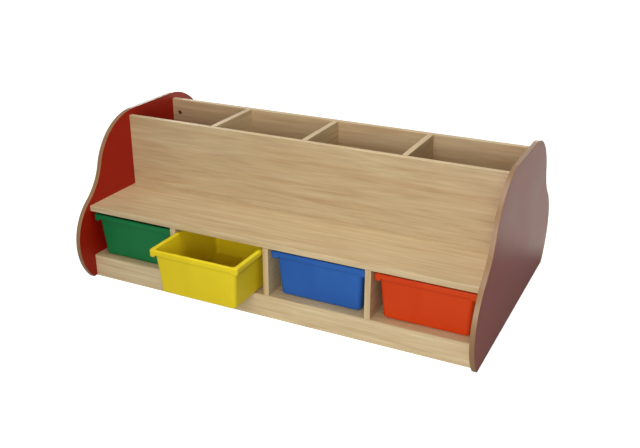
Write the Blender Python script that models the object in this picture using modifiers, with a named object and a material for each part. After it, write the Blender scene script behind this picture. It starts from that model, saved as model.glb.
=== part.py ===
"""Bookcase bench: a two-sided nursery bench with a book trough between its backs and trays below its seats.

Metres, +Z up, floor at z = 0. The bench is drawn about its own middle, with its front towards -Y, and the
origin empty then carries it so that the whole object, with its yellow tray drawn out, is centred on the origin.
"""

import math

import bmesh
import bpy
from mathutils import Matrix, Vector

# Boards and joints
BOARD = 0.019
PANEL_BOARD = 0.015
BAND = 0.002
BAND_ROUND = 0.0015
PANEL_BAND = 0.001
PANEL_BAND_ROUND = 0.0008
BAND_ROUND_STEPS = 2
GAP = 0.0003
WELD = 0.00001
FLAT_ANGLE = math.radians(0.4)

# Carcass
CELL_COUNT = 4
CELL_WIDTH = 0.319
SEAT_HEIGHT = 0.256
SEAT_DEPTH = 0.244
BOOK_DEPTH = 0.2375
BACKREST_HEIGHT = 0.2485
PLINTH_HEIGHT = 0.077

# Side panel outline, from the floor up
PANEL_PROUD = 0.069
PANEL_RISE = 0.0215
FOOT_RADIUS = 0.012
BULGE_RADIUS = 0.182
BULGE_HEIGHT = 0.129
WAIST_RADIUS = 0.2045
SHOULDER_RADIUS = 0.2055
TOP_FLAT = 0.222
ARC_STEP = math.radians(4)

# Trays
TRAY_SIDE_GAP = 0.0035
TRAY_TOP_GAP = 0.0115
TRAY_RECESS = 0.013
TRAY_STOP_GAP = 0.001
TRAY_WALL = 0.0025
TRAY_SIDE_RIM = 0.0125
TRAY_END_RIM = 0.008
TRAY_SKIRT = 0.021
TRAY_DRAFT = math.radians(4.3)
TRAY_CORNER = 0.014
TRAY_BASE_ROUND = 0.009
TRAY_RIM_CORNER = 0.009
TRAY_RIM_ROUND = 0.004
CORNER_STEPS = 4

# How far the front trays are drawn out, and how far they lie off the middle of their cells
DRAWN_OUT = {"green": 0.006, "yellow": 0.157}
OFF_MIDDLE = {"green": 0.002}

# Dowels in the ends of the bench top and the base shelf
DOWEL_RADIUS = 0.004
DOWEL_IN_PANEL = 0.0095
DOWEL_IN_BOARD = 0.022
DOWEL_EDGE = 0.090
DOWEL_SIDES = 8

# Cam fittings in the ends of the backrests
CAM_RADIUS = 0.0075
CAM_INSET = 0.029
CAM_DROP = 0.050
CAM_BEYOND_BOLT = 0.0045
CAM_RECESS = 0.0008
CAM_CROSS_WIDTH = 0.0018
CAM_CROSS_LENGTH = 0.009
CAM_CROSS_DEPTH = 0.002
CAM_SIDES = 20
BOLT_THREAD_RADIUS = 0.0025
BOLT_THREAD_LENGTH = 0.010
BOLT_COLLAR_RADIUS = 0.0036
BOLT_COLLAR_LENGTH = 0.0015
BOLT_SHANK_RADIUS = 0.0030
BOLT_NECK_RADIUS = 0.0018
BOLT_NECK_LENGTH = 0.004
BOLT_HEAD_RADIUS = 0.0030
BOLT_HEAD_LENGTH = 0.0025
BOLT_SIDES = 10

# Worked-out sizes
PITCH = CELL_WIDTH + BOARD
HALF_LENGTH = (CELL_COUNT * PITCH - BOARD) / 2
HALF_DEPTH = SEAT_DEPTH + BOARD + BOOK_DEPTH / 2
BACKREST_TOP = SEAT_HEIGHT + BACKREST_HEIGHT
PANEL_DEPTH = 2 * (HALF_DEPTH + PANEL_PROUD)
PANEL_HEIGHT = BACKREST_TOP + PANEL_RISE
CELL_TOP = SEAT_HEIGHT - BOARD
TRAY_WIDTH = CELL_WIDTH - 2 * TRAY_SIDE_GAP
TRAY_HEIGHT = CELL_TOP - PLINTH_HEIGHT - TRAY_TOP_GAP
TRAY_LENGTH = HALF_DEPTH - BOARD / 2 - TRAY_RECESS - TRAY_STOP_GAP
CAM_HEIGHT = BACKREST_TOP - CAM_DROP
CAM_DEPTH = BOARD / 2 + CAM_BEYOND_BOLT

FRONT, REAR = -1, 1
LEFT, RIGHT = -1, 1
SIDE_NAMES = {FRONT: "front", REAR: "rear"}
END_NAMES = {LEFT: "left", RIGHT: "right"}
TRAY_COLOURS = ("green", "yellow", "blue", "red")


def linear(red, green, blue):
    """An sRGB colour of 0 to 255 as the linear RGBA that a shader takes."""
    def channel(value):
        value /= 255
        return value / 12.92 if value <= 0.04045 else ((value + 0.055) / 1.055) ** 2.4
    return channel(red), channel(green), channel(blue), 1.0


def make_material(name, colour, roughness, metallic=0.0):
    material = bpy.data.materials.new(name)
    material.use_nodes = True
    shader = material.node_tree.nodes["Principled BSDF"]
    shader.inputs["Base Color"].default_value = linear(*colour)
    shader.inputs["Roughness"].default_value = roughness
    shader.inputs["Metallic"].default_value = metallic
    return material


def make_collection(name):
    collection = bpy.data.collections.new(name)
    bpy.context.scene.collection.children.link(collection)
    return collection


for left_over in list(bpy.data.objects):
    bpy.data.objects.remove(left_over, do_unlink=True)

PARTS = make_collection("bookcase_bench")
CUTTERS = make_collection("bookcase_bench_cutters")
MATERIALS = {
    "beech": make_material("beech_laminate", (205, 177, 134), 0.45),
    "band": make_material("beech_edge_band", (222, 198, 158), 0.42),
    "panel": make_material("red_laminate", (140, 28, 20), 0.32),
    "panel_band": make_material("panel_edge_band", (186, 155, 116), 0.40),
    "green": make_material("green_tray_plastic", (36, 104, 60), 0.38),
    "yellow": make_material("yellow_tray_plastic", (212, 190, 44), 0.38),
    "blue": make_material("blue_tray_plastic", (48, 92, 165), 0.38),
    "red": make_material("red_tray_plastic", (200, 62, 28), 0.38),
    "dowel": make_material("dowel_beech", (214, 184, 140), 0.70),
    "cam": make_material("dark_zinc", (62, 64, 56), 0.45, 1.0),
    "bolt": make_material("bright_steel", (170, 172, 175), 0.30, 1.0),
}


def make_origin():
    """The empty that carries the bench and centres the whole object on the scene's origin."""
    tray_front = HALF_DEPTH - TRAY_RECESS + max(DRAWN_OUT.values())
    reach = max(tray_front, PANEL_DEPTH / 2)
    origin = bpy.data.objects.new("bench_origin", None)
    origin.location = (0, (reach - PANEL_DEPTH / 2) / 2, 0)
    PARTS.objects.link(origin)
    return origin


ORIGIN = make_origin()


def add_part(name, data, material, location=(0, 0, 0), rotation=(0, 0, 0)):
    """Puts a piece on the bench. Its material sits on the object, so that pieces can share a mesh."""
    part = bpy.data.objects.new(name, data)
    PARTS.objects.link(part)
    part.parent = ORIGIN
    part.location = location
    part.rotation_euler = rotation
    if not data.materials:
        data.materials.append(None)
    part.material_slots[0].link = "OBJECT"
    part.material_slots[0].material = MATERIALS[material]
    return part


def box_bmesh(spans):
    """A box about its own middle, from its (low, high) along X, Y and Z."""
    box = bmesh.new()
    sizes = [high - low for low, high in spans]
    bmesh.ops.create_cube(box, size=1.0, matrix=Matrix.Diagonal((*sizes, 1.0)))
    return box


def middle(spans):
    return Vector([(low + high) / 2 for low, high in spans])


def mesh_of(name, shape):
    mesh = bpy.data.meshes.new(name)
    shape.to_mesh(mesh)
    shape.free()
    return mesh


def add_board(name, material, *spans):
    return add_part(name, mesh_of(name, box_bmesh(spans)), material, middle(spans))


def round_over(shape, edges, radius):
    bmesh.ops.bevel(
        shape, geom=edges, offset=radius, segments=BAND_ROUND_STEPS, profile=0.5, affect="EDGES"
    )


def add_band(name, outward, *spans):
    """A straight edge band: a thin strip whose two long outer edges are rounded over."""
    strip = box_bmesh(spans)
    sizes = Vector([high - low for low, high in spans])
    along = max(range(3), key=lambda axis: sizes[axis])
    outer = []
    for edge in strip.edges:
        start, end = (vertex.co for vertex in edge.verts)
        if abs(end[along] - start[along]) > sizes[along] / 2 and (start + end).dot(outward) > 0:
            outer.append(edge)
    round_over(strip, outer, BAND_ROUND)
    return add_part(name, mesh_of(name, strip), "band", middle(spans))


def cut(part, name, mesh, location, rotation=(0, 0, 0)):
    """Takes a hidden cutter's shape out of a piece."""
    cutter = bpy.data.objects.new(name, mesh)
    CUTTERS.objects.link(cutter)
    cutter.parent = ORIGIN
    cutter.location = location
    cutter.rotation_euler = rotation
    cutter.hide_render = True
    cutter.display_type = "WIRE"
    difference = part.modifiers.new(name, "BOOLEAN")
    difference.operation = "DIFFERENCE"
    difference.solver = "EXACT"
    difference.object = cutter


def rod_mesh(name, radius, length, sides, axis="X"):
    """A round rod about its own middle, along X or Y."""
    rod = bmesh.new()
    bmesh.ops.create_cone(
        rod, cap_ends=True, segments=sides, radius1=radius, radius2=radius, depth=length
    )
    turn = Matrix.Rotation(math.pi / 2, 4, "Y" if axis == "X" else "X")
    bmesh.ops.transform(rod, matrix=turn, verts=rod.verts)
    return mesh_of(name, rod)


def heading(vector):
    return math.atan2(vector.y, vector.x)


def arc(centre, radius, start, end):
    """Points along an arc, both ends included, close enough together to look round."""
    steps = max(2, math.ceil(abs(end - start) / ARC_STEP))
    angles = [start + (end - start) * step / steps for step in range(steps + 1)]
    return [centre + radius * Vector((math.cos(angle), math.sin(angle))) for angle in angles]


def outer_centre(first, first_distance, second, second_distance):
    """The point at the given distances from two centres that lies on their outer side."""
    between = second - first
    apart = between.length
    along = (first_distance**2 - second_distance**2 + apart**2) / (2 * apart)
    across = math.sqrt(first_distance**2 - along**2)
    unit = between / apart
    return first + along * unit + across * Vector((unit.y, -unit.x))


def half_outline(inset):
    """The edge of a side panel from its foot to its flat top, as tangent arcs drawn in by inset."""
    bulge = Vector((PANEL_DEPTH / 2 - BULGE_RADIUS, BULGE_HEIGHT))
    foot_drop = BULGE_HEIGHT - FOOT_RADIUS
    foot_reach = math.sqrt((BULGE_RADIUS - FOOT_RADIUS) ** 2 - foot_drop**2)
    foot = bulge + Vector((foot_reach, -foot_drop))
    shoulder = Vector((TOP_FLAT / 2, PANEL_HEIGHT - SHOULDER_RADIUS))
    waist = outer_centre(
        bulge, BULGE_RADIUS + WAIST_RADIUS, shoulder, SHOULDER_RADIUS + WAIST_RADIUS
    )
    pieces = (
        arc(foot, FOOT_RADIUS - inset, -math.pi / 2, heading(foot - bulge)),
        arc(bulge, BULGE_RADIUS - inset, heading(foot - bulge), 0),
        arc(bulge, BULGE_RADIUS - inset, 0, heading(waist - bulge)),
        arc(waist, WAIST_RADIUS + inset, heading(bulge - waist), heading(shoulder - waist)),
        arc(shoulder, SHOULDER_RADIUS - inset, heading(waist - shoulder), math.pi / 2),
    )
    outline = list(pieces[0])
    for piece in pieces[1:]:
        outline += piece[1:]
    return outline


def whole_outline(inset):
    """The edge of a side panel from the rear foot over the top to the front foot."""
    rear = half_outline(inset)
    front = [Vector((-point.x, point.y)) for point in reversed(rear)]
    return rear + front


def plate(name, outline):
    """A flat piece as thick as a side panel, filled from its closed outline and still lying in the XY plane."""
    curve = bpy.data.curves.new(name, "CURVE")
    curve.dimensions = "2D"
    curve.fill_mode = "BOTH"
    curve.extrude = PANEL_BOARD / 2
    spline = curve.splines.new("POLY")
    spline.points.add(len(outline) - 1)
    for place, point in zip(spline.points, outline):
        place.co = (point.x, point.y, 0, 1)
    spline.use_cyclic_u = True
    drawn = bpy.data.objects.new(name, curve)
    CUTTERS.objects.link(drawn)
    graph = bpy.context.evaluated_depsgraph_get()
    filled = bpy.data.meshes.new_from_object(drawn.evaluated_get(graph))
    bpy.data.objects.remove(drawn)
    shape = bmesh.new()
    shape.from_mesh(filled)
    bpy.data.meshes.remove(filled)
    bmesh.ops.remove_doubles(shape, verts=shape.verts, dist=WELD)
    bmesh.ops.dissolve_limit(shape, angle_limit=FLAT_ANGLE, verts=shape.verts, edges=shape.edges)
    return shape


def outer_rims(shape):
    """The edges of a flat piece between its two faces and the walls that face away from its middle."""
    middle_point = Vector((0, BULGE_HEIGHT, 0))
    rims = []
    for edge in shape.edges:
        walls = [face for face in edge.link_faces if abs(face.normal.z) < abs(face.normal.xy.length)]
        if len(walls) != 1:
            continue
        away = walls[0].calc_center_median() - middle_point
        if walls[0].normal.dot(away) > 0:
            rims.append(edge)
    return rims


UPRIGHT = (math.pi / 2, 0, math.pi / 2)


def make_side(end):
    """A side panel and the edge band that runs from its front foot over its top to its rear foot."""
    place = (end * (HALF_LENGTH + PANEL_BOARD / 2), 0, 0)
    name = END_NAMES[end]
    outer = whole_outline(0)
    band = plate("side_band", outer + list(reversed(whole_outline(PANEL_BAND))))
    round_over(band, outer_rims(band), PANEL_BAND_ROUND)
    add_part(f"{name}_side_edge_band", mesh_of("side_band", band), "panel_band", place, UPRIGHT)
    heel = outer[0].x - GAP
    inset = PANEL_BAND + GAP
    step = [Vector((heel, 0)), Vector((heel, inset))]
    front_step = [Vector((-heel, inset)), Vector((-heel, 0))]
    core = plate("side_panel", step + whole_outline(inset) + front_step)
    return add_part(f"{name}_side_panel", mesh_of("side_panel", core), "panel", place, UPRIGHT)


def cell_middle(cell):
    return (cell - (CELL_COUNT - 1) / 2) * PITCH


def divider_middles():
    return [cell_middle(cell) + PITCH / 2 for cell in range(CELL_COUNT - 1)]


def facing(side, near, far):
    """A (low, high) span in Y for a piece between two distances from the middle, to the front or rear."""
    return tuple(sorted((side * near, side * far)))


ALONG = (GAP - HALF_LENGTH, HALF_LENGTH - GAP)


def make_bench_top():
    """One board that carries both seats and the book trough, with a band on each seat's edge."""
    edge = HALF_DEPTH - BAND - GAP
    top = add_board("bench_top", "beech", ALONG, (-edge, edge), (CELL_TOP, SEAT_HEIGHT))
    for side in (FRONT, REAR):
        add_band(
            f"{SIDE_NAMES[side]}_seat_edge_band",
            Vector((0, side, 0)),
            ALONG,
            facing(side, HALF_DEPTH - BAND, HALF_DEPTH),
            (CELL_TOP, SEAT_HEIGHT),
        )
    return top


def make_backrest(side):
    """The board behind a seat, banded along its top."""
    deep = facing(side, BOOK_DEPTH / 2, BOOK_DEPTH / 2 + BOARD)
    name = SIDE_NAMES[side]
    under_band = BACKREST_TOP - BAND - GAP
    rest = add_board(f"{name}_backrest", "beech", ALONG, deep, (SEAT_HEIGHT + GAP, under_band))
    top = (BACKREST_TOP - BAND, BACKREST_TOP)
    add_band(f"{name}_backrest_edge_band", Vector((0, 0, 1)), ALONG, deep, top)
    return rest


def make_book_dividers():
    """The upright boards that part the book trough into cells, banded along their tops."""
    reach = BOOK_DEPTH / 2 - GAP
    deep = (-reach, reach)
    for number, x in enumerate(divider_middles(), start=1):
        wide = (x - BOARD / 2, x + BOARD / 2)
        tall = (SEAT_HEIGHT + GAP, BACKREST_TOP - BAND - GAP)
        add_board(f"book_divider_{number}", "beech", wide, deep, tall)
        top = (BACKREST_TOP - BAND, BACKREST_TOP)
        add_band(f"book_divider_edge_band_{number}", Vector((0, 0, 1)), wide, deep, top)


def make_base():
    """The shelf that the trays stand on, and the plinths that face it at the front and the rear."""
    reach = HALF_DEPTH - BOARD - GAP
    tall = (PLINTH_HEIGHT - BOARD, PLINTH_HEIGHT)
    shelf = add_board("base_shelf", "beech", ALONG, (-reach, reach), tall)
    for side in (FRONT, REAR):
        deep = facing(side, HALF_DEPTH - BOARD, HALF_DEPTH)
        name = SIDE_NAMES[side]
        add_board(f"{name}_plinth", "beech", ALONG, deep, (0, PLINTH_HEIGHT - BAND - GAP))
        top = (PLINTH_HEIGHT - BAND, PLINTH_HEIGHT)
        add_band(f"{name}_plinth_edge_band", Vector((0, 0, 1)), ALONG, deep, top)
    return shelf


def make_tray_walls():
    """The spine between the two rows of trays, and the dividers that part each row into cells."""
    tall = (PLINTH_HEIGHT + GAP, CELL_TOP - GAP)
    add_board("centre_spine", "beech", ALONG, (-BOARD / 2, BOARD / 2), tall)
    for side in (FRONT, REAR):
        name = SIDE_NAMES[side]
        for number, x in enumerate(divider_middles(), start=1):
            wide = (x - BOARD / 2, x + BOARD / 2)
            deep = facing(side, BOARD / 2 + GAP, HALF_DEPTH - BAND - GAP)
            add_board(f"{name}_divider_{number}", "beech", wide, deep, tall)
            edge = facing(side, HALF_DEPTH - BAND, HALF_DEPTH)
            add_band(f"{name}_divider_edge_band_{number}", Vector((0, side, 0)), wide, edge, tall)


def rounded_ring(shape, width, length, radius, z):
    """A closed ring of edges: a rectangle with round corners at height z."""
    ring = []
    for corner in range(4):
        x = (width / 2 - radius) * (1 if corner in (0, 3) else -1)
        y = (length / 2 - radius) * (1 if corner in (0, 1) else -1)
        for step in range(CORNER_STEPS + 1):
            angle = math.pi / 2 * (corner + step / CORNER_STEPS)
            place = (x + radius * math.cos(angle), y + radius * math.sin(angle), z)
            ring.append(shape.verts.new(place))
    return [shape.edges.new(pair) for pair in zip(ring, ring[1:] + ring[:1])]


def tray_mesh():
    """The outside of a moulded tray: a drafted body, a flat rim round its mouth and a turned-down skirt."""
    under_rim = TRAY_HEIGHT - TRAY_WALL
    taper = 2 * math.tan(TRAY_DRAFT)
    mouth_width = TRAY_WIDTH - 2 * TRAY_SIDE_RIM
    mouth_length = TRAY_LENGTH - 2 * TRAY_END_RIM
    skirt_width = TRAY_WIDTH - 2 * TRAY_WALL
    skirt_length = TRAY_LENGTH - 2 * TRAY_WALL
    corner = TRAY_RIM_CORNER - TRAY_WALL
    bend = TRAY_RIM_ROUND - TRAY_WALL
    body_drop = under_rim - TRAY_BASE_ROUND
    base_inset = taper * under_rim + 2 * TRAY_BASE_ROUND
    body_inset = taper * body_drop
    sections = (
        (mouth_width - base_inset, mouth_length - base_inset, TRAY_CORNER - TRAY_BASE_ROUND, 0),
        (mouth_width - body_inset, mouth_length - body_inset, TRAY_CORNER, TRAY_BASE_ROUND),
        (mouth_width, mouth_length, TRAY_CORNER, under_rim),
        (skirt_width - 2 * bend, skirt_length - 2 * bend, corner - bend, under_rim),
        (skirt_width, skirt_length, corner, under_rim - bend),
        (skirt_width, skirt_length, corner, TRAY_HEIGHT - TRAY_SKIRT),
    )
    shape = bmesh.new()
    rings = [rounded_ring(shape, *section) for section in sections]
    for lower, upper in zip(rings, rings[1:]):
        bmesh.ops.bridge_loops(shape, edges=lower + upper)
    bmesh.ops.contextual_create(shape, geom=rings[0])
    bmesh.ops.recalc_face_normals(shape, faces=shape.faces)
    floor = min(shape.faces, key=lambda face: face.calc_center_median().z)
    if floor.normal.z > 0:
        bmesh.ops.reverse_faces(shape, faces=shape.faces)
    return mesh_of("tray", shape)


def make_trays():
    """A row of trays in the front cells and another in the rear ones, with two front trays drawn out."""
    mesh = tray_mesh()
    home = HALF_DEPTH - TRAY_RECESS - TRAY_LENGTH / 2
    for side in (FRONT, REAR):
        for cell in range(CELL_COUNT):
            colour = TRAY_COLOURS[cell % len(TRAY_COLOURS)]
            x = cell_middle(cell) * -side
            drawn = 0
            if side == FRONT:
                drawn = DRAWN_OUT.get(colour, 0)
                x += OFF_MIDDLE.get(colour, 0)
            tray = add_part(
                f"{SIDE_NAMES[side]}_{colour}_tray",
                mesh,
                colour,
                (x, side * (home + drawn), PLINTH_HEIGHT + GAP),
                (0, 0, math.pi if side == REAR else 0),
            )
            wall = tray.modifiers.new("wall", "SOLIDIFY")
            wall.thickness = TRAY_WALL
            wall.offset = -1
            wall.use_even_offset = True


def make_dowels(board, board_name, half_depth, height, panels):
    """Two dowels in each end of a board, in blind holes in the board and in the side panel."""
    length = DOWEL_IN_PANEL + DOWEL_IN_BOARD
    dowel = rod_mesh("dowel", DOWEL_RADIUS, length, DOWEL_SIDES)
    hole = rod_mesh("dowel_hole", DOWEL_RADIUS + GAP, length + 2 * GAP, DOWEL_SIDES)
    for end in (LEFT, RIGHT):
        for side in (FRONT, REAR):
            x = end * (HALF_LENGTH + (DOWEL_IN_PANEL - DOWEL_IN_BOARD) / 2)
            place = (x, side * (half_depth - DOWEL_EDGE), height)
            name = f"{board_name}_dowel_{END_NAMES[end]}_{SIDE_NAMES[side]}"
            add_part(name, dowel, "dowel", place)
            cut(board, f"{name}_board_hole", hole, place)
            cut(panels[end], f"{name}_panel_hole", hole, place)


def bolt_mesh():
    """Half the outline of a cam bolt, turned about Z, with its thread below z = 0 and its head on the cam."""
    head_top = CAM_INSET + BOLT_HEAD_LENGTH / 2
    neck_top = head_top - BOLT_HEAD_LENGTH
    shank_top = neck_top - BOLT_NECK_LENGTH
    collar_top = GAP + BOLT_COLLAR_LENGTH
    profile = (
        (0, head_top),
        (BOLT_HEAD_RADIUS, head_top),
        (BOLT_HEAD_RADIUS, neck_top),
        (BOLT_NECK_RADIUS, neck_top),
        (BOLT_NECK_RADIUS, shank_top),
        (BOLT_SHANK_RADIUS, shank_top),
        (BOLT_SHANK_RADIUS, collar_top),
        (BOLT_COLLAR_RADIUS, collar_top),
        (BOLT_COLLAR_RADIUS, GAP),
        (BOLT_THREAD_RADIUS, GAP),
        (BOLT_THREAD_RADIUS, -BOLT_THREAD_LENGTH),
        (0, -BOLT_THREAD_LENGTH),
    )
    mesh = bpy.data.meshes.new("cam_bolt")
    points = [(radius, 0, z) for radius, z in profile]
    mesh.from_pydata(points, [(at, at + 1) for at in range(len(points) - 1)], [])
    return mesh


def make_cam_bolt(name, end, place):
    bolt = add_part(name, bolt_mesh(), "bolt", place, (0, -end * math.pi / 2, 0))
    turn = bolt.modifiers.new("turn", "SCREW")
    turn.steps = BOLT_SIDES
    turn.render_steps = BOLT_SIDES
    turn.use_merge_vertices = True
    turn.merge_threshold = WELD


def make_cam(name, end, face, place):
    """A cam sunk in a board's face: a cross for the driver outside, a slot for the bolt's head inside."""
    height = CAM_DEPTH - CAM_RECESS - GAP
    cam = add_part(name, rod_mesh("cam", CAM_RADIUS, height, CAM_SIDES, "Y"), "cam", place)
    slot_depth = BOLT_HEAD_RADIUS + CAM_BEYOND_BOLT
    slot = box_bmesh(((0, 2 * CAM_RADIUS), (0, 2 * slot_depth), (0, 2 * (BOLT_HEAD_RADIUS + GAP))))
    slot_x = place[0] + end * (CAM_RADIUS - BOLT_HEAD_LENGTH / 2 - GAP)
    slot_y = place[1] + face * height / 2
    cut(cam, f"{name}_slot", mesh_of("cam_slot", slot), (slot_x, slot_y, place[2]))
    for number, turn in enumerate((0, math.pi / 2)):
        arm = box_bmesh(((0, CAM_CROSS_LENGTH), (0, 2 * CAM_CROSS_DEPTH), (0, CAM_CROSS_WIDTH)))
        at = (place[0], place[1] - face * height / 2, place[2])
        cut(cam, f"{name}_cross_{number}", mesh_of("cam_cross", arm), at, (0, turn, 0))


def make_cam_fittings(rest, side, panels):
    """A cam and its bolt at each end of a backrest, with the cam's face in the book trough."""
    face_y = side * BOOK_DEPTH / 2
    bolt_y = side * (BOOK_DEPTH / 2 + BOARD / 2)
    cam_y = face_y + side * (CAM_RECESS + CAM_DEPTH - GAP) / 2
    pocket = rod_mesh("cam_pocket", CAM_RADIUS + GAP, 2 * CAM_DEPTH, CAM_SIDES, "Y")
    bore_radius = max(BOLT_COLLAR_RADIUS, BOLT_SHANK_RADIUS, BOLT_HEAD_RADIUS) + GAP
    bore = rod_mesh("bolt_bore", bore_radius, 2 * CAM_INSET, BOLT_SIDES)
    thread_hole = rod_mesh(
        "bolt_thread_hole", BOLT_THREAD_RADIUS + GAP, 2 * (BOLT_THREAD_LENGTH + GAP), BOLT_SIDES
    )
    for end in (LEFT, RIGHT):
        name = f"{SIDE_NAMES[side]}_backrest_cam"
        end_name = END_NAMES[end]
        face_x = end * HALF_LENGTH
        cam_x = end * (HALF_LENGTH - CAM_INSET)
        make_cam(f"{name}_{end_name}", end, side, (cam_x, cam_y, CAM_HEIGHT))
        make_cam_bolt(f"{name}_bolt_{end_name}", end, (face_x, bolt_y, CAM_HEIGHT))
        cut(rest, f"{name}_pocket_{end_name}", pocket, (cam_x, face_y, CAM_HEIGHT))
        cut(rest, f"{name}_bore_{end_name}", bore, (face_x, bolt_y, CAM_HEIGHT))
        cut(panels[end], f"{name}_thread_{end_name}", thread_hole, (face_x, bolt_y, CAM_HEIGHT))


panels = {end: make_side(end) for end in (LEFT, RIGHT)}
bench_top = make_bench_top()
base_shelf = make_base()
backrests = {side: make_backrest(side) for side in (FRONT, REAR)}
make_book_dividers()
make_tray_walls()
make_trays()
make_dowels(bench_top, "bench_top", HALF_DEPTH, SEAT_HEIGHT - BOARD / 2, panels)
make_dowels(base_shelf, "base_shelf", HALF_DEPTH - BOARD, PLINTH_HEIGHT - BOARD / 2, panels)
for rest_side, rest in backrests.items():
    make_cam_fittings(rest, rest_side, panels)
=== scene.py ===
"""Looks of the bookcase bench: its finishes, finer panels, bands and trays, the light and the camera."""

import math

import bmesh
import bpy
from mathutils import Matrix, Vector


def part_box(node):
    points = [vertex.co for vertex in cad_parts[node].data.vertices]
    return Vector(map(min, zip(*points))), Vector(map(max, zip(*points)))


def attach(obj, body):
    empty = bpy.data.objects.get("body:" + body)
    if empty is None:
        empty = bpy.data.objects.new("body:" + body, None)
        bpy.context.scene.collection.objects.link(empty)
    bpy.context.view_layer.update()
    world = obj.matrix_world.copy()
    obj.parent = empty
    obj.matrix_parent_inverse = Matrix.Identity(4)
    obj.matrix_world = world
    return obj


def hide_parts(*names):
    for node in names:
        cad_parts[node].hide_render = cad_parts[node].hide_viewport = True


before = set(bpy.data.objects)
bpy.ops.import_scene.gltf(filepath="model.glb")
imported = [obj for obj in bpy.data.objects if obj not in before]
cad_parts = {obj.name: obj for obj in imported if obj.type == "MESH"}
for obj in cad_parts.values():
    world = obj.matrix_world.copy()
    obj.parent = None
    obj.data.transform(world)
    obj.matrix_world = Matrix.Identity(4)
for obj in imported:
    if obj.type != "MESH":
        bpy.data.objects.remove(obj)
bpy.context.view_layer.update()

# Names that the nodes are made of
CARCASS = "carcass"
ENDS = ("left", "right")
SIDES = ("front", "rear")
TRAY_COLOURS = ("green", "yellow", "blue", "red")
DIVIDER_COUNT = 3

# Camera, as the photograph was taken
CAMERA_PLACE = Vector((1.1695, -2.3689, 1.3151))
CAMERA_AZIMUTH = math.radians(25.932)
CAMERA_DOWN = math.radians(23.159)
CAMERA_ROLL = math.radians(0.180)
CAMERA_LENS = 47.818
CAMERA_SENSOR = 36.0

# Light: level of the surrounding white, and each soft round lamp's place, diameter and power
AMBIENT = 0.11
AIM = Vector((0.0, 0.0, 0.25))
LAMPS = {
    "front": (Vector((0.4, -2.2, 0.9)), 0.9, 17.0),
    "right": (Vector((1.2, -3.2, 1.1)), 1.6, 29.0),
    "overhead": (Vector((0.2, -0.4, 2.2)), 1.6, 28.0),
    "rear": (Vector((-3.0, 2.9, 0.6)), 1.2, 65.0),
    "back": (Vector((0.3, 3.4, 0.4)), 1.2, 17.0),
}

# Floor: its own shade, its glow by the object, and between which distances that rises to white
FLOOR_SIZE = 60.0
FLOOR_SHADE = (0.5, 0.5, 0.5, 1.0)
FLOOR_ROUGHNESS = 0.9
FLOOR_GLOW = 0.92
FLOOR_WHITE = (1.5, 4.0)

# Floor in reflections: share of its glow up to the object's rear, where along Y it turns white, its tint
MIRROR_NEAR = 0.27
MIRROR_WHITE = (0.44, 0.58)
MIRROR_TINT = (0.97, 1.05, 0.92, 1.0)

# Side panels: board and edge band, and the outline's radii and heights from the floor up
PANEL_BOARD = 0.015
PANEL_CHAMFER = 0.0004
BAND = 0.001
BAND_ROUND = 0.0008
SEAM = 0.0003
FOOT_RADIUS = 0.012
BULGE_RADIUS = 0.182
BULGE_HEIGHT = 0.129
WAIST_RADIUS = 0.2045
SHOULDER_RADIUS = 0.2055
TOP_FLAT = 0.222

# Trays: wall, rim, skirt with its corner lugs, draft and roundings
TRAY_WALL = 0.0025
TRAY_SIDE_RIM = 0.0125
TRAY_END_RIM = 0.008
TRAY_SKIRT = 0.016
TRAY_LUG_DROP = 0.0065
TRAY_LUG_RUN = 0.0105
TRAY_DRAFT = math.radians(4.3)
TRAY_CORNER = 0.014
TRAY_BASE_ROUND = 0.009
TRAY_RIM_CORNER = 0.009
TRAY_RIM_ROUND = 0.004
TRAY_LIP_ROUND = 0.003
TRAY_NECK_ROUND = 0.002

# Fineness of the meshes, and how far from a rounding a flat stretch gets points that keep it flat
ARC_STEP = math.radians(1.6)
LEAST_ARC_STEPS = 3
PANEL_COLUMNS = 12
BAND_ROUND_STEPS = 5
ROUND_STEPS = 6
CORNER_STEPS = 12
SUPPORT = 0.002

# Points beyond a tray's corner: how far on, and how much of the way up from the lug to the plain skirt
SIDE_RUN = ((SUPPORT, 1.0),)
END_RUN = ((TRAY_LUG_RUN, 0.0), (TRAY_LUG_RUN + SUPPORT, 1.0))

WHITE = (1.0, 1.0, 1.0, 1.0)


# Material tools

def linear(red, green, blue):
    """An sRGB colour of 0 to 255 as the linear RGBA that a shader takes."""
    def channel(value):
        value /= 255
        return value / 12.92 if value <= 0.04045 else ((value + 0.055) / 1.055) ** 2.4
    return channel(red), channel(green), channel(blue), 1.0


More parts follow.
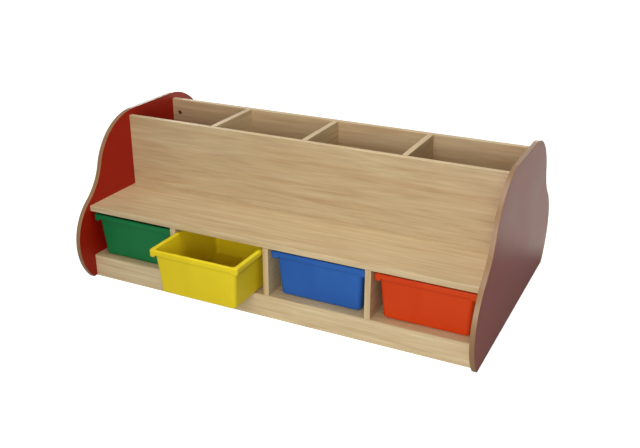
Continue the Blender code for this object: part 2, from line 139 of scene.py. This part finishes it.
class Finish:
    """A Principled material that is built up node by node."""

    # Numbers of a colour mix node's sockets
    MIX_FACTOR, MIX_A, MIX_B, MIX_RESULT = 0, 6, 7, 2

    def __init__(self, name):
        self.material = bpy.data.materials.new(name)
        self.material.use_nodes = True
        self.nodes = self.material.node_tree.nodes
        self.links = self.material.node_tree.links
        self.shader = self.nodes["Principled BSDF"]

    def add(self, kind, inputs, **settings):
        """A node with its settings, and with each input linked to a socket or set to a value."""
        node = self.nodes.new(kind)
        for name, value in settings.items():
            setattr(node, name, value)
        for key, value in inputs.items():
            self.feed(node.inputs[key], value)
        return node

    def feed(self, target, value):
        """Links an input to a socket or sets it to a value."""
        if isinstance(value, bpy.types.NodeSocket):
            self.links.new(value, target)
        else:
            target.default_value = value

    def coordinates(self, kind="Object"):
        return self.nodes.new("ShaderNodeTexCoord").outputs[kind]

    def parts(self, vector):
        """The X, Y and Z sockets of a vector, by name."""
        return self.add("ShaderNodeSeparateXYZ", {"Vector": vector}).outputs

    def place(self, vector, scale=(1, 1, 1), location=(0, 0, 0), rotation=(0, 0, 0)):
        inputs = {"Vector": vector, "Scale": scale, "Location": location, "Rotation": rotation}
        return self.add("ShaderNodeMapping", inputs).outputs["Vector"]

    def noise(self, vector, scale=1.0, detail=2.0, roughness=0.5, distortion=0.0):
        inputs = {
            "Vector": vector,
            "Scale": scale,
            "Detail": detail,
            "Roughness": roughness,
            "Distortion": distortion,
        }
        return self.add("ShaderNodeTexNoise", inputs).outputs["Fac"]

    def ramp(self, fac, *stops):
        """Maps a value to colours: each stop is a position and an RGBA colour, or a grey level."""
        node = self.add("ShaderNodeValToRGB", {"Fac": fac})
        elements = node.color_ramp.elements
        while len(elements) < len(stops):
            elements.new(1.0)
        for element, (position, colour) in zip(elements, stops):
            element.position = position
            element.color = colour if isinstance(colour, tuple) else (colour, colour, colour, 1.0)
        return node.outputs["Color"]

    def remap(self, value, start, end, low=0.0, high=1.0):
        """Maps the range from start to end to the range from low to high, and holds it there."""
        inputs = {"Value": value, "From Min": start, "From Max": end, "To Min": low, "To Max": high}
        return self.add("ShaderNodeMapRange", inputs).outputs["Result"]

    def span(self, value, low, high):
        """Maps a value of 0 to 1 to the given range."""
        return self.remap(value, 0.0, 1.0, low, high)

    def compute(self, operation, first, second=0.0):
        return self.add("ShaderNodeMath", {0: first, 1: second}, operation=operation).outputs["Value"]

    def mix(self, blend, factor, first, second):
        inputs = {self.MIX_FACTOR: factor, self.MIX_A: first, self.MIX_B: second}
        node = self.add("ShaderNodeMix", inputs, data_type="RGBA", blend_type=blend)
        return node.outputs[self.MIX_RESULT]

    def shade(self, tone, by, share=1.0):
        """Multiplies a tone by another one, wholly or in part."""
        return self.mix("MULTIPLY", share, tone, by)

    def bump(self, height, strength, distance):
        inputs = {"Height": height, "Strength": strength, "Distance": distance}
        self.feed(self.shader.inputs["Normal"], self.add("ShaderNodeBump", inputs).outputs["Normal"])

    def surface(self, **inputs):
        """Sets the shader's own inputs, by name with _ for a space, to values or sockets."""
        for name, value in inputs.items():
            self.feed(self.shader.inputs[name.replace("_", " ")], value)
        return self.material


# Positions of the darker and the lighter of two tones over a noise
NOISE_STOPS = (0.3, 0.7)


# Wood

GRAIN_TURNS = {"X": (0, 0, 0), "Y": (0, 0, -math.pi / 2), "Z": (0, math.pi / 2, 0)}
WOOD_TONES = (linear(190, 162, 121), linear(199, 176, 137), linear(207, 188, 148))
BAND_TONES = (linear(190, 163, 119), linear(199, 176, 135), linear(207, 186, 146))

# Tints of single boards and bands, partly their own tone and partly painted light and shade: the plinths
# and the seat's bands lighter, the backrests and the plinths' bands darker
NO_TINT = (1.0, 1.0, 1.0)
BOARD_TONE_AND_LIGHT = {
    "bench_top": (0.98, 0.97, 0.95),
    "front_backrest": (0.925, 0.92, 0.91),
    "rear_backrest": (0.945, 0.885, 0.87),
    **{f"{side}_plinth": (1.15, 1.19, 1.23) for side in SIDES},
    **{f"{side}_seat_edge_band": (1.03, 1.06, 1.11) for side in SIDES},
    **{f"{side}_plinth_edge_band": (0.93, 0.93, 0.93) for side in SIDES},
}

# Layers of the wood's figure: scales along and across the grain, and shades over each layer
FIGURE_START = (0.83, 0.57, 0.31)
FIGURE_STEP = (1.93, 0.71, 0.47)
STREAK_SCALE = (3.6, 62.0, 62.0)
STREAK_STOPS = (0.30, 0.50, 0.70)
CLOUD_SCALE = (1.1, 6.0, 6.0)
CLOUD_SHADES = ((0.3, (0.99, 0.95, 0.90, 1.0)), (0.7, WHITE))
RING_SCALE = (0.75, 5.2, 5.2)
RING_COUNT = 15.0
RING_SHADES = ((0.0, 0.99), (0.5, 1.0), (0.86, 0.955), (1.0, 0.985))
LINE_SCALE = (7.0, 150.0, 150.0)
LINE_SHADES = ((0.3, 0.92), (0.7, 1.05))
FIBRE_SCALE = (12.0, 430.0, 430.0)
FIBRE_SHADES = ((0.25, 0.95), (0.75, 1.03))
PORE_SCALE = (80.0, 950.0, 950.0)
PORE_SHADES = ((0.64, 1.0), (0.72, 0.84))
PORE_SHARE = 0.6

# Surface of the wood: strength and depth of its relief, and its sheen
WOOD_RELIEF = (0.12, 0.0002)
WOOD_ROUGHNESS = (0.54, 0.44)
WOOD_SPECULAR = 0.4


def wood_figure(finish, grain):
    """Growth rings of a plain-sawn board, as level lines of a field that is drawn out along the grain."""
    field = finish.noise(finish.place(grain, RING_SCALE), detail=1.5, roughness=0.4)
    ring = finish.compute("FRACT", finish.compute("MULTIPLY", field, RING_COUNT))
    return finish.ramp(ring, *RING_SHADES)


def wood(name, along, offset, tones):
    """Beech laminate with its grain along an axis. Offset picks another stretch of the figure."""
    finish = Finish(name)
    turned = finish.place(finish.coordinates(), rotation=GRAIN_TURNS[along])
    grain = finish.place(turned, location=offset)
    streak = finish.noise(finish.place(grain, STREAK_SCALE), detail=3.0, roughness=0.6, distortion=0.5)
    cloud = finish.noise(finish.place(grain, CLOUD_SCALE), detail=2.0)
    line = finish.noise(finish.place(grain, LINE_SCALE), detail=2.0, roughness=0.6, distortion=0.4)
    fibre = finish.noise(finish.place(grain, FIBRE_SCALE), detail=2.0, roughness=0.6)
    fleck = finish.noise(finish.place(grain, PORE_SCALE), detail=1.0)
    pores = finish.ramp(fleck, *PORE_SHADES)
    tone = finish.ramp(streak, *zip(STREAK_STOPS, tones))
    tone = finish.shade(tone, finish.ramp(cloud, *CLOUD_SHADES))
    tone = finish.shade(tone, wood_figure(finish, grain))
    tone = finish.shade(tone, finish.ramp(line, *LINE_SHADES))
    tone = finish.shade(tone, finish.ramp(fibre, *FIBRE_SHADES))
    tone = finish.shade(tone, pores, PORE_SHARE)
    finish.bump(finish.shade(fibre, pores), *WOOD_RELIEF)
    roughness = finish.span(fibre, *WOOD_ROUGHNESS)
    return finish.surface(Base_Color=tone, Roughness=roughness, Specular_IOR_Level=WOOD_SPECULAR)


# Edging of the side panels

EDGING_TONES = (linear(129, 92, 54), linear(143, 106, 68), linear(152, 115, 75))
EDGING_STREAK_SCALE = (7.0, 330.0, 1.0)
EDGING_STREAK_SHADES = ((0.28, 0.86), (0.7, 1.05))
EDGING_CLOUD_SCALE = (2.4, 40.0, 1.0)
EDGING_CLOUD_STOPS = (0.3, 0.52, 0.75)
EDGING_RELIEF = (0.10, 0.0002)
EDGING_ROUGHNESS = (0.5, 0.38)


def edging_wood():
    """Wood-tone edge band along a curve, drawn in the piece's own UV lengths."""
    finish = Finish("panel_edge_band")
    along = finish.coordinates("UV")
    streak = finish.noise(finish.place(along, EDGING_STREAK_SCALE), detail=3.0, roughness=0.6)
    cloud = finish.noise(finish.place(along, EDGING_CLOUD_SCALE), detail=2.0)
    tone = finish.ramp(cloud, *zip(EDGING_CLOUD_STOPS, EDGING_TONES))
    tone = finish.shade(tone, finish.ramp(streak, *EDGING_STREAK_SHADES))
    finish.bump(streak, *EDGING_RELIEF)
    return finish.surface(Base_Color=tone, Roughness=finish.span(streak, *EDGING_ROUGHNESS))


# Red laminate

LAMINATE_TONES = (linear(140, 17, 5), linear(150, 21, 7))
MOTTLE_SCALE = 7.0
PEBBLE_SCALE = 780.0
PEBBLE_SHADES = ((0.3, 0.95), (0.7, 1.04))
LAMINATE_RELIEF = (0.16, 0.0002)
LAMINATE_ROUGHNESS = (0.36, 0.44)
LAMINATE_SPECULAR = 0.29
LAMINATE_SPECULAR_TINT = (1.0, 0.72, 0.55, 1.0)


def red_laminate():
    """Semi-gloss red board facing with a fine pebbled surface."""
    finish = Finish("red_laminate")
    place = finish.coordinates()
    mottle = finish.noise(place, scale=MOTTLE_SCALE, detail=4.0, roughness=0.6)
    pebble = finish.noise(place, scale=PEBBLE_SCALE, detail=2.0, roughness=0.55)
    tone = finish.ramp(mottle, *zip(NOISE_STOPS, LAMINATE_TONES))
    tone = finish.shade(tone, finish.ramp(pebble, *PEBBLE_SHADES))
    finish.bump(pebble, *LAMINATE_RELIEF)
    return finish.surface(
        Base_Color=tone,
        Roughness=finish.span(mottle, *LAMINATE_ROUGHNESS),
        Specular_IOR_Level=LAMINATE_SPECULAR,
        Specular_Tint=LAMINATE_SPECULAR_TINT,
    )


# Tray plastic

TRAY_TONES = {
    "green": (linear(16, 110, 58), linear(20, 118, 64)),
    "yellow": (linear(219, 194, 26), linear(227, 204, 35)),
    "blue": (linear(38, 89, 166), linear(45, 98, 174)),
    "red": (linear(203, 59, 10), linear(211, 67, 15)),
}
FLOW_SCALE = (9.0, 9.0, 4.0)
SKIN_SCALE = 1500.0
SKIN_SHADES = ((0.3, 0.97), (0.7, 1.02))
PLASTIC_RELIEF = (0.10, 0.00012)
PLASTIC_ROUGHNESS = (0.36, 0.46)
PLASTIC_SPECULAR = 0.18

# Painted shade: a darker line on a tray's walls under its skirt, where the skirt's shadow falls: its
# level, and where it starts, is darkest and ends, as shares of the tray's height below the skirt's edge
TRAY_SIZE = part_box("front_green_tray")[1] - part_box("front_green_tray")[0]
UNDER_SKIRT = 1 - TRAY_SKIRT / TRAY_SIZE.z
SKIRT_SHADE_LEVEL = 0.80
END_SKIRT_SHADE = (0.09, 0.032, 0.012)
SIDE_SKIRT_SHADE = (0.16, 0.10, 0.012)

# The painted shade lies on the walls' outer faces: how far in from the neck those reach, and where that
# is
END_FACE_DEPTH = 0.003
SIDE_FACE_DEPTH = 0.0035
FACE_FADE = 0.001
END_FACE = TRAY_SIZE.y / 2 - TRAY_END_RIM - END_FACE_DEPTH
SIDE_FACE = TRAY_SIZE.x / 2 - TRAY_SIDE_RIM - SIDE_FACE_DEPTH


def tray_plastic(colour):
    """Satin moulded plastic: a faint flow figure, a fine spark-eroded skin, an uneven sheen and a painted
    shadow line under the skirt.
    """
    finish = Finish(f"{colour}_tray_plastic")
    place = finish.coordinates()
    flow = finish.noise(finish.place(place, FLOW_SCALE), detail=3.0, distortion=0.6)
    skin = finish.noise(place, scale=SKIN_SCALE, detail=2.0, roughness=0.6)
    tone = finish.ramp(flow, *zip(NOISE_STOPS, TRAY_TONES[colour]))
    tone = finish.shade(tone, finish.ramp(skin, *SKIN_SHADES))
    parts = finish.parts(place)
    level = finish.compute("DIVIDE", parts["Z"], TRAY_SIZE.z)
    # Painted shade: darkens the end walls and the side walls just under the skirt
    for axis, face, drops in (("Y", END_FACE, END_SKIRT_SHADE), ("X", SIDE_FACE, SIDE_SKIRT_SHADE)):
        off_middle = finish.compute("ABSOLUTE", parts[axis])
        outside = finish.remap(off_middle, face, face + FACE_FADE)
        stops = zip((UNDER_SKIRT - drop for drop in drops), (1.0, SKIRT_SHADE_LEVEL, 1.0))
        tone = finish.shade(tone, finish.ramp(level, *stops), outside)
    finish.bump(skin, *PLASTIC_RELIEF)
    roughness = finish.span(flow, *PLASTIC_ROUGHNESS)
    return finish.surface(Base_Color=tone, Roughness=roughness, Specular_IOR_Level=PLASTIC_SPECULAR)


# Metal: darker and lighter tone, and range of roughness

METALS = {
    "dark_zinc": (linear(118, 117, 84), linear(150, 148, 110), (0.38, 0.56)),
    "bright_steel": (linear(150, 152, 156), linear(182, 184, 188), (0.22, 0.40)),
}
PLATING_SCALE = 260.0
SCRATCH_SCALE = (2600.0, 260.0, 380.0)
METAL_RELIEF = (0.12, 0.0001)


def turned_metal(name):
    """Plated metal with fine scratches and a cloudy plating."""
    dark, light, roughness = METALS[name]
    finish = Finish(name)
    place = finish.coordinates()
    cloud = finish.noise(place, scale=PLATING_SCALE, detail=4.0, roughness=0.65)
    scratch = finish.noise(finish.place(place, SCRATCH_SCALE), detail=2.0)
    tone = finish.ramp(cloud, *zip(NOISE_STOPS, (dark, light)))
    finish.bump(scratch, *METAL_RELIEF)
    return finish.surface(Base_Color=tone, Metallic=1.0, Roughness=finish.span(scratch, *roughness))


# Piece helpers

def add_piece(name, shape, material, body, slot, *nodes):
    """Makes a mesh piece that rides on a body and stands for the given nodes."""
    mesh = bpy.data.meshes.new(name)
    shape.to_mesh(mesh)
    shape.free()
    mesh.shade_smooth()
    mesh.materials.append(material)
    piece = bpy.data.objects.new(name, mesh)
    bpy.context.scene.collection.objects.link(piece)
    even = piece.modifiers.new("even_shading", "WEIGHTED_NORMAL")
    even.keep_sharp = True
    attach(piece, body)
    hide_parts(*nodes)
    return piece


def bridge(shape, first, second, closed):
    """Quads between two rows of as many vertices, and round to the start where the rows are closed."""
    count = len(first)
    for at in range(count if closed else count - 1):
        after = (at + 1) % count
        shape.faces.new((first[at], first[after], second[after], second[at]))


def point_outwards(shape):
    """Turns all faces of a closed shape outwards."""
    bmesh.ops.recalc_face_normals(shape, faces=shape.faces)
    if shape.calc_volume(signed=True) < 0:
        bmesh.ops.reverse_faces(shape, faces=shape.faces)


# Side panels

PANEL_LOW, PANEL_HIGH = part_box("left_side_edge_band")
PANEL_DEPTH = PANEL_HIGH.y - PANEL_LOW.y
PANEL_HEIGHT = PANEL_HIGH.z
PANEL_MIDDLE = (PANEL_HIGH.y + PANEL_LOW.y) / 2


def heading(vector):
    return math.atan2(vector.y, vector.x)


def arc(centre, radius, start, end):
    """Points along an arc, both ends included."""
    steps = max(LEAST_ARC_STEPS, math.ceil(abs(end - start) / ARC_STEP))
    angles = [start + (end - start) * step / steps for step in range(steps + 1)]
    return [centre + radius * Vector((math.cos(angle), math.sin(angle))) for angle in angles]


def outer_centre(first, first_distance, second, second_distance):
    """The point at the given distances from two centres that lies on their outer side."""
    between = second - first
    apart = between.length
    along = (first_distance**2 - second_distance**2 + apart**2) / (2 * apart)
    across = math.sqrt(first_distance**2 - along**2)
    unit = between / apart
    return first + along * unit + across * Vector((unit.y, -unit.x))


def half_outline(inset):
    """The edge of a side panel from its foot to its flat top, as tangent arcs drawn in by inset.
    The bulge is two arcs, which meet at the panel's widest point."""
    bulge = Vector((PANEL_DEPTH / 2 - BULGE_RADIUS, BULGE_HEIGHT))
    foot_drop = BULGE_HEIGHT - FOOT_RADIUS
    foot_reach = math.sqrt((BULGE_RADIUS - FOOT_RADIUS) ** 2 - foot_drop**2)
    foot = bulge + Vector((foot_reach, -foot_drop))
    shoulder = Vector((TOP_FLAT / 2, PANEL_HEIGHT - SHOULDER_RADIUS))
    waist = outer_centre(bulge, BULGE_RADIUS + WAIST_RADIUS, shoulder, SHOULDER_RADIUS + WAIST_RADIUS)
    pieces = (
        arc(foot, FOOT_RADIUS - inset, -math.pi / 2, heading(foot - bulge)),
        arc(bulge, BULGE_RADIUS - inset, heading(foot - bulge), 0),
        arc(bulge, BULGE_RADIUS - inset, 0, heading(waist - bulge)),
        arc(waist, WAIST_RADIUS + inset, heading(bulge - waist), heading(shoulder - waist)),
        arc(shoulder, SHOULDER_RADIUS - inset, heading(waist - shoulder), math.pi / 2),
    )
    outline = list(pieces[0])
    for piece in pieces[1:]:
        outline += piece[1:]
    return outline


def panel_row(shape, x, inset):
    """The vertices of a panel's edge at one x, from the rear foot over the top to the front foot."""
    half = half_outline(inset)
    rear = [(x, PANEL_MIDDLE + point.x, point.y) for point in half]
    front = [(x, PANEL_MIDDLE - point.x, point.y) for point in reversed(half)]
    return [shape.verts.new(place) for place in rear + front]


def panel_face(shape, row):
    """Fills a panel's face with rows of quads between its rear and its front edge. Gives back the lowest
    and the highest row of vertices."""
    half = len(row) // 2
    strips = []
    for rear, front in zip(row[:half], reversed(row[half:])):
        between = [rear.co.lerp(front.co, step / PANEL_COLUMNS) for step in range(1, PANEL_COLUMNS)]
        strips.append([rear, *[shape.verts.new(place) for place in between], front])
    for lower, upper in zip(strips, strips[1:]):
        bridge(shape, lower, upper, closed=False)
    return strips[0], strips[-1]


def panel_core(middle):
    """The red board of a side panel, with a fine chamfer along its edges."""
    shape = bmesh.new()
    inset = BAND + SEAM
    half = PANEL_BOARD / 2
    sections = (
        (middle - half, inset + PANEL_CHAMFER),
        (middle - half + PANEL_CHAMFER, inset),
        (middle + half - PANEL_CHAMFER, inset),
        (middle + half, inset + PANEL_CHAMFER),
    )
    rows = [panel_row(shape, x, drawn_in) for x, drawn_in in sections]
    for first, second in zip(rows, rows[1:]):
        bridge(shape, first, second, closed=False)
    outer, inner = (panel_face(shape, row) for row in (rows[0], rows[-1]))
    bridge(shape, outer[0], inner[0], closed=False)
    bridge(shape, outer[1], inner[1], closed=False)
    bmesh.ops.holes_fill(shape, edges=shape.edges)
    point_outwards(shape)
    return shape


def band_section():
    """Offsets and insets across an edge band, from side to side: square inside, rounded over outside."""
    half = PANEL_BOARD / 2
    section = [(-half, BAND)]
    for step in range(BAND_ROUND_STEPS + 1):
        angle = math.pi / 2 * step / BAND_ROUND_STEPS
        across = half - BAND_ROUND + BAND_ROUND * math.cos(angle)
        section.append((-across, BAND_ROUND - BAND_ROUND * math.sin(angle)))
    return section + [(-across, inset) for across, inset in reversed(section)]


def write_lengths(shape, rows):
    """Gives each face a UV in metres: along the row, and across the rows."""
    place_of = {}
    across = 0.0
    for index, row in enumerate(rows):
        along = 0.0
        for at, vertex in enumerate(row):
            if at:
                along += (rows[0][at].co - rows[0][at - 1].co).length
            place_of[vertex] = (along, across)
        if index + 1 < len(rows):
            across += (rows[index + 1][0].co - row[0].co).length
    layer = shape.loops.layers.uv.new("lengths")
    for face in shape.faces:
        for loop in face.loops:
            loop[layer].uv = place_of[loop.vert]


def panel_band(middle):
    """The edge band of a side panel, lofted along the panel's outline."""
    shape = bmesh.new()
    rows = [panel_row(shape, middle + across, inset) for across, inset in band_section()]
    for first, second in zip(rows, rows[1:] + rows[:1]):
        bridge(shape, first, second, closed=False)
    for foot in (0, -1):
        shape.faces.new([row[foot] for row in rows])
    point_outwards(shape)
    write_lengths(shape, rows)
    return shape


def make_sides():
    """The two side panels, each a board with its edging."""
    laminate = red_laminate()
    edging = edging_wood()
    for end in ENDS:
        core = f"{end}_side_panel"
        band = f"{end}_side_edge_band"
        low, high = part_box(core)
        middle = (low.x + high.x) / 2
        add_piece(f"{end}_panel_board", panel_core(middle), laminate, CARCASS, "red_laminate", core)
        add_piece(f"{end}_panel_edging", panel_band(middle), edging, CARCASS, "panel_edge_band", band)


# Trays

def rounded_row(shape, width, length, radius, z, lift):
    """A rectangle with round corners at height z, with points near each corner to keep the sides flat.
    Lift is the step up from the corners to the runs between them."""
    places = []
    for corner in range(4):
        x = (width / 2 - radius) * (1 if corner in (0, 3) else -1)
        y = (length / 2 - radius) * (1 if corner in (0, 1) else -1)
        middle = Vector((x, y))
        turns = [math.pi / 2 * (corner + step / CORNER_STEPS) for step in range(CORNER_STEPS + 1)]
        round_part = [middle + radius * Vector((math.cos(turn), math.sin(turn))) for turn in turns]
        back = Vector((math.sin(turns[0]), -math.cos(turns[0])))
        on = Vector((-math.sin(turns[-1]), math.cos(turns[-1])))
        before, after = (END_RUN, SIDE_RUN) if corner % 2 else (SIDE_RUN, END_RUN)
        for away, share in reversed(before):
            places.append((*(round_part[0] + away * back), z + share * lift))
        places += [(*point, z) for point in round_part]
        for away, share in after:
            places.append((*(round_part[-1] + away * on), z + share * lift))
    return [shape.verts.new(place) for place in places]


def tray_sections(height):
    """The wall of a tray from under its floor, out over its rim and down inside, as rows of
    (inset at the sides, inset at the ends, corner radius, height, lift between the corners)."""
    lean = math.tan(TRAY_DRAFT)
    steep = math.cos(TRAY_DRAFT)
    rise = math.sin(TRAY_DRAFT)
    under = height - TRAY_WALL
    wall_across = TRAY_WALL / steep
    quarter = [step / ROUND_STEPS * math.pi / 2 for step in range(ROUND_STEPS + 1)]
    leaning = [step / ROUND_STEPS * (math.pi / 2 - TRAY_DRAFT) for step in range(ROUND_STEPS + 1)]
    rows = []

    def body(inset, z, radius=TRAY_CORNER):
        rows.append((TRAY_SIDE_RIM + inset, TRAY_END_RIM + inset, radius, z, 0.0))

    def rim(inset, z, lift=0.0):
        rows.append((inset, inset, TRAY_RIM_CORNER - inset, z, lift))

    def outer_wall(z):
        return lean * (under - z)

    def inner_wall(z):
        return outer_wall(z) + wall_across

    # Outside, from the base up to the rim's underside
    base = TRAY_BASE_ROUND
    base_in = outer_wall(base * (1 - rise)) + base * steep
    for turn in leaning:
        reach = base * math.sin(turn)
        body(base_in - reach, base - base * math.cos(turn), TRAY_CORNER - base + reach)
    neck = TRAY_NECK_ROUND
    body(outer_wall(under - neck - SUPPORT), under - neck - SUPPORT)
    for turn in quarter:
        body(neck * math.cos(turn) - neck, under - neck + neck * math.sin(turn))

    # Rim: down inside the skirt, round its hem and up over the outer edge
    bend = TRAY_RIM_ROUND - TRAY_WALL
    for turn in quarter:
        rim(TRAY_WALL + bend - bend * math.sin(turn), under - bend + bend * math.cos(turn))
    hem = TRAY_WALL / 2
    hem_top = height - TRAY_SKIRT - TRAY_LUG_DROP + hem
    for turn in quarter[:-1] + [turn + math.pi / 2 for turn in quarter]:
        rim(hem + hem * math.cos(turn), hem_top - hem * math.sin(turn), TRAY_LUG_DROP)
    edge = TRAY_RIM_ROUND
    for turn in quarter:
        rim(edge - edge * math.cos(turn), height - edge + edge * math.sin(turn))

    # Inside, from the lip down to the floor
    lip = TRAY_LIP_ROUND
    lip_in = inner_wall(height - lip * (1 - rise)) - lip * steep
    for turn in leaning:
        body(lip_in + lip * math.sin(turn), height - lip + lip * math.cos(turn), TRAY_CORNER - TRAY_WALL)
    cove = TRAY_BASE_ROUND - TRAY_WALL
    cove_in = inner_wall(TRAY_WALL + cove * (1 - rise)) + cove * steep
    for turn in reversed(leaning):
        reach = cove * math.sin(turn)
        level = TRAY_WALL + cove - cove * math.cos(turn)
        body(cove_in - reach, level, TRAY_CORNER - TRAY_BASE_ROUND + reach)
    return rows


def tray_shape(width, length, height):
    """A tray with its middle over the origin, standing on it."""
    shape = bmesh.new()
    rows = []
    for side, end, radius, z, lift in tray_sections(height):
        rows.append(rounded_row(shape, width - 2 * side, length - 2 * end, radius, z, lift))
    for first, second in zip(rows, rows[1:]):
        bridge(shape, first, second, closed=True)
    shape.faces.new(rows[0])
    shape.faces.new(rows[-1])
    point_outwards(shape)
    return shape


def make_trays():
    """The trays of both sides, each on its own body."""
    plastics = {colour: tray_plastic(colour) for colour in TRAY_COLOURS}
    for side in SIDES:
        for colour in TRAY_COLOURS:
            node = f"{side}_{colour}_tray"
            low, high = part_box(node)
            size = high - low
            tray = add_piece(
                f"{side}_{colour}_moulded_tray",
                tray_shape(size.x, size.y, size.z),
                plastics[colour],
                node,
                f"{colour}_tray_plastic",
                node,
            )
            tray.location = ((low.x + high.x) / 2, (low.y + high.y) / 2, low.z)


# Finishes of the boards, straight bands and fittings

def dress(node, material):
    """Gives a node its finish."""
    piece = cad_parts[node]
    piece.data.materials.clear()
    piece.data.materials.append(material)


def dress_wood(nodes, along, tones=WOOD_TONES):
    """Gives each board its own stretch of the wood's figure, and its tint, partly painted light and
    shade, where it has one.
    """
    for number, node in enumerate(nodes):
        offset = tuple(start + step * number for start, step in zip(FIGURE_START, FIGURE_STEP))
        # Partly painted light and shade: the tint lightens or darkens this board's tones
        tint = (*BOARD_TONE_AND_LIGHT.get(node, NO_TINT), 1.0)
        tinted = [tuple(part * share for part, share in zip(tone, tint)) for tone in tones]
        dress(node, wood(f"wood_{node}", along, offset, tinted))


def dress_nodes():
    """Finishes for all nodes that no piece replaces."""
    numbers = range(1, DIVIDER_COUNT + 1)
    long_boards = ["bench_top", "base_shelf", "centre_spine"]
    long_boards += [f"{side}_{board}" for side in SIDES for board in ("backrest", "plinth")]
    cross_boards = [f"book_divider_{number}" for number in numbers]
    cross_boards += [f"{side}_divider_{number}" for side in SIDES for number in numbers]
    dress_wood(long_boards, "X")
    dress_wood(cross_boards, "Y")
    long_bands = [f"{side}_{edge}_edge_band" for side in SIDES for edge in ("seat", "backrest", "plinth")]
    cross_bands = [f"book_divider_edge_band_{number}" for number in numbers]
    upright_bands = [f"{side}_divider_edge_band_{number}" for side in SIDES for number in numbers]
    dress_wood(long_bands, "X", BAND_TONES)
    dress_wood(cross_bands, "Y", BAND_TONES)
    dress_wood(upright_bands, "Z", BAND_TONES)
    dowels = []
    for board in ("bench_top", "base_shelf"):
        dowels += [f"{board}_dowel_{end}_{side}" for end in ENDS for side in SIDES]
    dress_wood(dowels, "X")
    zinc = turned_metal("dark_zinc")
    steel = turned_metal("bright_steel")
    for side in SIDES:
        for end in ENDS:
            dress(f"{side}_backrest_cam_{end}", zinc)
            dress(f"{side}_backrest_cam_bolt_{end}", steel)


# Studio

SEEN = "Is Camera Ray"
MIRRORED = ("Is Glossy Ray", "Is Transmission Ray")


def ray_kinds(tree, *kinds):
    """A socket that is 1 for rays of any of the given kinds."""
    path = tree.nodes.new("ShaderNodeLightPath")
    value = path.outputs[kinds[0]]
    for kind in kinds[1:]:
        either = tree.nodes.new("ShaderNodeMath")
        either.operation = "MAXIMUM"
        tree.links.new(value, either.inputs[0])
        tree.links.new(path.outputs[kind], either.inputs[1])
        value = either.outputs["Value"]
    return value


def make_world():
    """White surroundings: full white to the eye and in reflections, and a softer level as light."""
    world = bpy.data.worlds.new("studio")
    bpy.context.scene.world = world
    world.use_nodes = True
    tree = world.node_tree
    background = tree.nodes["Background"]
    background.inputs["Color"].default_value = WHITE
    level = tree.nodes.new("ShaderNodeMapRange")
    level.inputs["To Min"].default_value = AMBIENT
    tree.links.new(ray_kinds(tree, SEEN, *MIRRORED), level.inputs["Value"])
    tree.links.new(level.outputs["Result"], background.inputs["Strength"])


def make_lamps():
    """Soft round lamps that all point at the object."""
    for name, (place, diameter, power) in LAMPS.items():
        lamp = bpy.data.lights.new(name, "AREA")
        lamp.shape = "DISK"
        lamp.size = diameter
        lamp.energy = power
        stand = bpy.data.objects.new(f"{name}_lamp", lamp)
        stand.location = place
        stand.rotation_euler = (AIM - place).to_track_quat("-Z", "Y").to_euler()
        bpy.context.scene.collection.objects.link(stand)


def floor_material():
    """A pale floor that is white to the camera and takes the object's shadow. In reflections it is dimmer
    as far as the object's rear, and white behind it, as a wall there would be."""
    finish = Finish("studio_floor")
    tree = finish.material.node_tree
    place = finish.coordinates()
    level = finish.remap(finish.parts(place)["Y"], *MIRROR_WHITE, low=MIRROR_NEAR)
    mirrored = ray_kinds(tree, *MIRRORED)
    tint = finish.mix("MIX", mirrored, WHITE, MIRROR_TINT)
    seen = finish.compute("MAXIMUM", ray_kinds(tree, SEEN), finish.compute("MULTIPLY", mirrored, level))
    away = finish.add("ShaderNodeVectorMath", {0: place}, operation="LENGTH").outputs["Value"]
    glow = finish.remap(away, *FLOOR_WHITE, low=FLOOR_GLOW)
    return finish.surface(
        Base_Color=FLOOR_SHADE,
        Roughness=FLOOR_ROUGHNESS,
        Specular_IOR_Level=0.0,
        Emission_Color=tint,
        Emission_Strength=finish.compute("MULTIPLY", seen, glow),
    )


def make_floor():
    """A wide floor under the object."""
    shape = bmesh.new()
    bmesh.ops.create_grid(shape, x_segments=1, y_segments=1, size=FLOOR_SIZE / 2)
    mesh = bpy.data.meshes.new("studio_floor")
    shape.to_mesh(mesh)
    shape.free()
    mesh.materials.append(floor_material())
    floor = bpy.data.objects.new("studio_floor", mesh)
    bpy.context.scene.collection.objects.link(floor)


def make_camera():
    """The camera, turned about the upright, tilted down and rolled a little."""
    camera = bpy.data.cameras.new("camera")
    camera.lens = CAMERA_LENS
    camera.sensor_width = CAMERA_SENSOR
    camera.sensor_fit = "HORIZONTAL"
    stand = bpy.data.objects.new("camera", camera)
    turn = Matrix.Rotation(CAMERA_AZIMUTH, 4, "Z")
    tilt = Matrix.Rotation(math.pi / 2 - CAMERA_DOWN, 4, "X")
    roll = Matrix.Rotation(CAMERA_ROLL, 4, "Z")
    stand.matrix_world = Matrix.Translation(CAMERA_PLACE) @ turn @ tilt @ roll
    bpy.context.scene.collection.objects.link(stand)
    bpy.context.scene.camera = stand


make_camera()
make_world()
make_lamps()
make_floor()
make_sides()
make_trays()
dress_nodes()
bpy.context.scene.view_settings.view_transform = "Standard"
